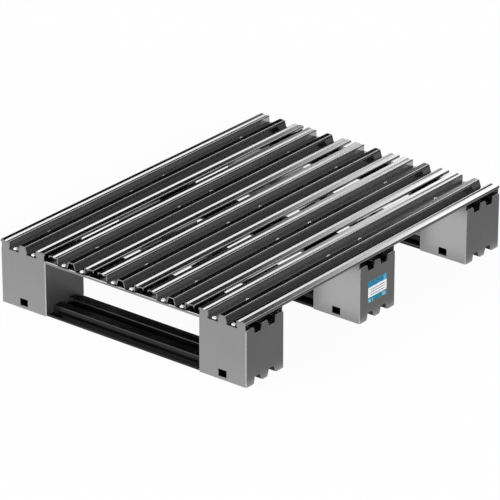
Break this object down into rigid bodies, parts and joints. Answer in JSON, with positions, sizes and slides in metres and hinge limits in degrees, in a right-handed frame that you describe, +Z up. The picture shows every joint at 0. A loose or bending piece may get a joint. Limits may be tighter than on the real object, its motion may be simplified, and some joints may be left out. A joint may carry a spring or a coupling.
{
  "type": "stainless steel pallet",
  "caption": "Open-deck half-size pallet of folded stainless steel: grooved W-section boards over cross rails, hollow folded blocks and skid rails.",
  "frame": {"origin": "on the floor, under the middle of the pallet", "axes": "+Y along the deck boards, +X along the rails, +Z up"},
  "size_m": [0.6002, 0.8, 0.132],
  "materials": {
    "deck_sheet": "rolled stainless sheet with a bright mill finish",
    "rail_sheet": "rolled stainless sheet with a mill finish",
    "block_sheet": "satin stainless sheet with a fine vertical grain",
    "weld_metal": "small smooth weld buttons",
    "label_film": "printed film label"
  },
  "bodies": {
    "root": {"deck_board_1": "deck_sheet", "deck_board_2": "deck_sheet", "deck_board_3": "deck_sheet", "deck_board_4": "deck_sheet", "deck_board_5": "deck_sheet", "cross_rail_front": "rail_sheet", "skid_rail_front": "rail_sheet", "block_shell_left_front": "block_sheet", "block_rear_plate_left_front": "block_sheet", "block_shell_right_front": "block_sheet", "block_rear_plate_right_front": "block_sheet", "cross_rail_middle": "rail_sheet", "skid_rail_middle": "rail_sheet", "block_shell_left_middle": "block_sheet", "block_rear_plate_left_middle": "block_sheet", "block_shell_right_middle": "block_sheet", "block_rear_plate_right_middle": "block_sheet", "cross_rail_back": "rail_sheet", "skid_rail_back": "rail_sheet", "block_shell_left_back": "block_sheet", "block_rear_plate_left_back": "block_sheet", "block_shell_right_back": "block_sheet", "block_rear_plate_right_back": "block_sheet", "deck_weld_buttons": "weld_metal", "block_label": "label_film"}
  },
  "joints": []
}
